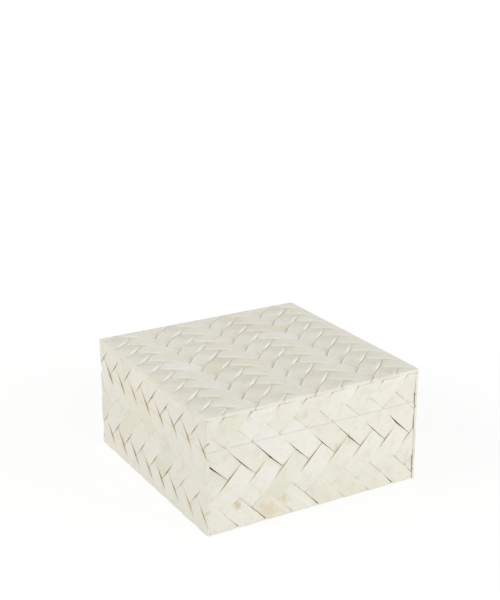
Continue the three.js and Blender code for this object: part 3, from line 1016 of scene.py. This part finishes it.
class BOX_OT_top_weave(bpy.types.Operator):
    """Lays the tiles and the grout on the lid"""

    bl_idname = "box.top_weave"
    bl_label = "Top Weave"

    def execute(self, context):
        weave = settings().top_weave
        tones = settings().colours
        # The lid's bone: a painted highlight on its edges and walls, and painted shade in its dips
        bone = finish_of("top_bone", bone_finish, weave, tones.top_edge_highlight, whiten=1.0, wax=0.27, tips=0.0)
        mortar = finish_of("top_grout", grout_finish, tones.top_grout)
        pattern = model_tile(weave)
        low = Vector((-BOX_HALF, -BOX_HALF, 0))
        high = Vector((BOX_HALF, BOX_HALF, 0))
        out = Vector((0, 0, 1))
        ways = [Vector((1, 0, 0)), Vector((0, 1, 0)), Vector((-1, 0, 0)), Vector((0, -1, 0))]
        outline = []
        rim = []
        for way, following in zip(ways, ways[1:] + ways[:1]):
            outline.append((way * BOX_HALF, way))
            outline += rounding((way + following) * BOX_HALF, way, following, weave.corner_round)
            rim += rounding(way * BOX_HALF + out * weave.rim_height, way, out, weave.rim_round)
        tiles = lay_tiles(pattern, weave, TOP_FACE, low, high)
        tiles.name = tiles.data.name = "lid_top_bone_weave"
        grout = spread_grout(weave, low, high)
        grout.name = grout.data.name = "lid_top_grout"
        saw(tiles, outline)
        level_rim(tiles, weave)
        saw(tiles, rim)
        saw(grout, outline)
        for piece in (tiles, grout):
            piece.data.transform(
                Matrix.Translation((0, 0, TOP_LOW)) @ Matrix.Rotation(TOP_FACE.turn, 4, "Z")
            )
            smooth(piece)
        settle(tiles, "lid", bone, stands_for=["lid_top_tiles"])
        settle(grout, "lid", mortar)
        remove(pattern)
        return {"FINISHED"}


PANELS = {"base": "floor_panel", "lid": "top_panel"}


class BOX_OT_carcass(bpy.types.Operator):
    """Makes the wooden boards with their edges eased"""

    bl_idname = "box.carcass"
    bl_label = "Wooden Carcass"

    def execute(self, context):
        tone = settings().colours.wood
        for body, panel in PANELS.items():
            for part in (panel, "front_wall", "back_wall", "left_wall", "right_wall"):
                node = f"{body}_{part}"
                axis = "Y" if part in ("left_wall", "right_wall") else "X"
                finish = finish_of(f"wood_along_{axis.lower()}", wood_finish, tone, axis)
                board = copy_piece(frame["nodes"][node], f"{node}_board")
                edit(board)
                bpy.ops.mesh.remove_doubles(threshold=1e-6)
                bpy.ops.mesh.dissolve_limited(angle_limit=math.radians(1))
                close_edit()
                ease = {"limit_method": "ANGLE", "angle_limit": math.radians(40)}
                apply_modifier(board, "BEVEL", width=EASED_EDGE, segments=2, **ease)
                smooth(board)
                settle(board, body, finish, stands_for=[node])
        return {"FINISHED"}


# Each felt's solid, body and slot, what it rests on, how it is held, and whether its good side is up
FELTS = {
    "floor_felt": ("floor_lining", "base", "lining_felt", "base_floor_panel", "laid", 1),
    "lid_felt": ("lid_lining", "lid", "lining_felt", "lid_top_panel", "stretched", -1),
    "foot_felt": ("base_felt", "base", "foot_felt", "base_floor_panel", "stretched", -1),
}


class BOX_OT_felt(bpy.types.Operator):
    """Lays the felt on the floor, in the lid and under the box"""

    bl_idname = "box.felt"
    bl_label = "Felt"

    def execute(self, context):
        tones = {"lining_felt": settings().colours.felt, "foot_felt": settings().colours.foot_felt}
        for name, (node, body, slot, rests_on, held, up) in FELTS.items():
            low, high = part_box(node)
            size = high - low
            middle = (low + high) / 2
            felt = add_plate(low, high, middle.z, FELT_PITCH)
            felt.name = felt.data.name = name
            edit(felt)
            bpy.ops.mesh.extrude_region_move(TRANSFORM_OT_translate={"value": (0, 0, size.z / 2)})
            close_edit()
            for vertex in felt.data.vertices:
                edge = min(size.x / 2 - abs(vertex.co.x - middle.x), size.y / 2 - abs(vertex.co.y - middle.y))
                shown = (vertex.co.z > middle.z + size.z / 4) == (up > 0)
                lumps = 0.5 + 0.5 * noise.noise(vertex.co / FELT_LUMPS)
                drop = (LUMP_DEPTH * lumps + PRESSED_EDGE * math.exp(-edge / MM)) * size.z
                outer = middle.z + up * (size.z / 2 - drop)
                inner = middle.z - up * size.z / 2
                vertex.co.z = outer if shown else inner
            edit(felt)
            turn_outwards()
            close_edit()
            smooth(felt, SMOOTH_ANGLE_OF_FELT)
            finish = finish_of(slot, felt_finish, tones[slot])
            settle(felt, body, finish, stands_for=[node])
        return {"FINISHED"}


class BOX_OT_hinges(bpy.types.Operator):
    """Gives the hinges, their pins and screws their brass"""

    bl_idname = "box.hinges"
    bl_label = "Hinges"

    def execute(self, context):
        finish = finish_of("hinge_brass", brass_finish, settings().colours.brass)
        for name, node in frame["nodes"].items():
            if name.startswith("hinge_"):
                node.data.materials.clear()
                node.data.materials.append(finish)
        return {"FINISHED"}


def add_lamp(name, where, size, power, tone=(1, 1, 1)):
    """A square lamp that shines at the box."""
    deselect()
    bpy.ops.object.light_add(type="AREA", location=where)
    lamp = bpy.context.object
    lamp.name = name
    lamp.data.shape = "SQUARE"
    lamp.data.size = size
    lamp.data.energy = power
    lamp.data.color = tone
    aim = Vector((0, 0, BOX_HALF / 2)) - Vector(where)
    lamp.rotation_euler = aim.to_track_quat("-Z", "Y").to_euler()


def floor_finish(name, tone, stage):
    """White paper that glows for the camera, more so away from the box, and keeps a faint shadow."""
    finish = Finish(bpy.data.materials.new(name))
    seen = finish.seen()
    paper = finish.node("ShaderNodeBsdfDiffuse", {"Color": tone})
    glow = finish.node("ShaderNodeEmission", {"Strength": 1.0})
    shader = finish.node("ShaderNodeMixShader", {0: seen * stage.floor_glow, 1: paper, 2: glow})
    x, y, _ = finish.parts(finish.place())
    lift = finish.between(finish.distance(x, y), 0.2, 0.7, stage.near_lift, stage.far_lift)
    lifted = finish.node("ShaderNodeEmission", {"Strength": seen * lift})
    both = finish.node("ShaderNodeAddShader", {0: shader, 1: lifted})
    finish.node("ShaderNodeOutputMaterial", {"Surface": both})
    return finish.owner


class BOX_OT_stage(bpy.types.Operator):
    """Sets up the floor, the white room, the lamps and the camera"""

    bl_idname = "box.stage"
    bl_label = "Stage"

    def execute(self, context):
        stage = settings().stage
        scene = context.scene
        scene.view_settings.view_transform = "Standard"
        deselect()
        bpy.ops.mesh.primitive_plane_add(size=60)
        floor = bpy.context.object
        floor.name = "floor"
        floor.data.materials.append(finish_of("white_floor", floor_finish, settings().colours.floor, stage))

        scene.world = bpy.data.worlds.new("white_room")
        room = Finish(scene.world)
        strength = room.between(room.seen(), 0.0, 1.0, stage.room_light, 1.0)
        light = room.node("ShaderNodeBackground", {"Color": (1, 1, 1), "Strength": strength})
        room.node("ShaderNodeOutputWorld", {"Surface": light})

        add_lamp("key", stage.key_place, stage.lamp_size, stage.key_power)
        add_lamp("side", stage.side_place, stage.lamp_size, stage.side_power, stage.side_tone)

        deselect()
        bpy.ops.object.camera_add(location=stage.camera_place, rotation=stage.camera_turn)
        camera = bpy.context.object
        camera.data.lens = stage.lens
        camera.data.clip_start = 0.01
        scene.camera = camera
        return {"FINISHED"}


class BoxSettings(bpy.types.PropertyGroup):
    """Everything that the sidebar shows."""

    side_weave: PointerProperty(name="Side weave", description="Tiles of the sides", type=BoxSideWeave)
    top_weave: PointerProperty(name="Top weave", description="Tiles of the lid", type=BoxTopWeave)
    colours: PointerProperty(name="Colours", description="Colours of the materials", type=BoxColours)
    stage: PointerProperty(name="Stage", description="Camera and light", type=BoxStage)


OPERATORS = [
    BOX_OT_stage,
    BOX_OT_side_weave,
    BOX_OT_top_weave,
    BOX_OT_carcass,
    BOX_OT_felt,
    BOX_OT_hinges,
]


class BOX_PT_panel(bpy.types.Panel):
    """Sizes and colours of the box, and its pieces"""

    bl_idname = "BOX_PT_panel"
    bl_label = "Bone Weave Box"
    bl_space_type = "VIEW_3D"
    bl_region_type = "UI"
    bl_category = "Box"

    def draw(self, context):
        layout = self.layout
        groups = settings()
        for group in (groups.side_weave, groups.top_weave, groups.colours, groups.stage):
            box = layout.box()
            for name in group.__annotations__:
                box.prop(group, name)
        for operator in OPERATORS:
            layout.operator(operator.bl_idname)


CLASSES = [BoxSideWeave, BoxTopWeave, BoxColours, BoxStage, BoxSettings, *OPERATORS, BOX_PT_panel]


def register():
    """Makes the classes known to Blender."""
    for made in CLASSES:
        bpy.utils.register_class(made)
    bpy.types.Scene.bone_box = PointerProperty(
        name="Bone box", description="Sizes and colours of the box", type=BoxSettings
    )


def unregister():
    """Takes the classes out again."""
    del bpy.types.Scene.bone_box
    for made in reversed(CLASSES):
        bpy.utils.unregister_class(made)


def main():
    """Makes the pieces in order."""
    register()
    deselect()
    bpy.ops.box.stage()
    bpy.ops.box.side_weave()
    bpy.ops.box.top_weave()
    bpy.ops.box.carcass()
    bpy.ops.box.felt()
    bpy.ops.box.hinges()
    bpy.context.view_layer.update()


if __name__ == "__main__":
    main()
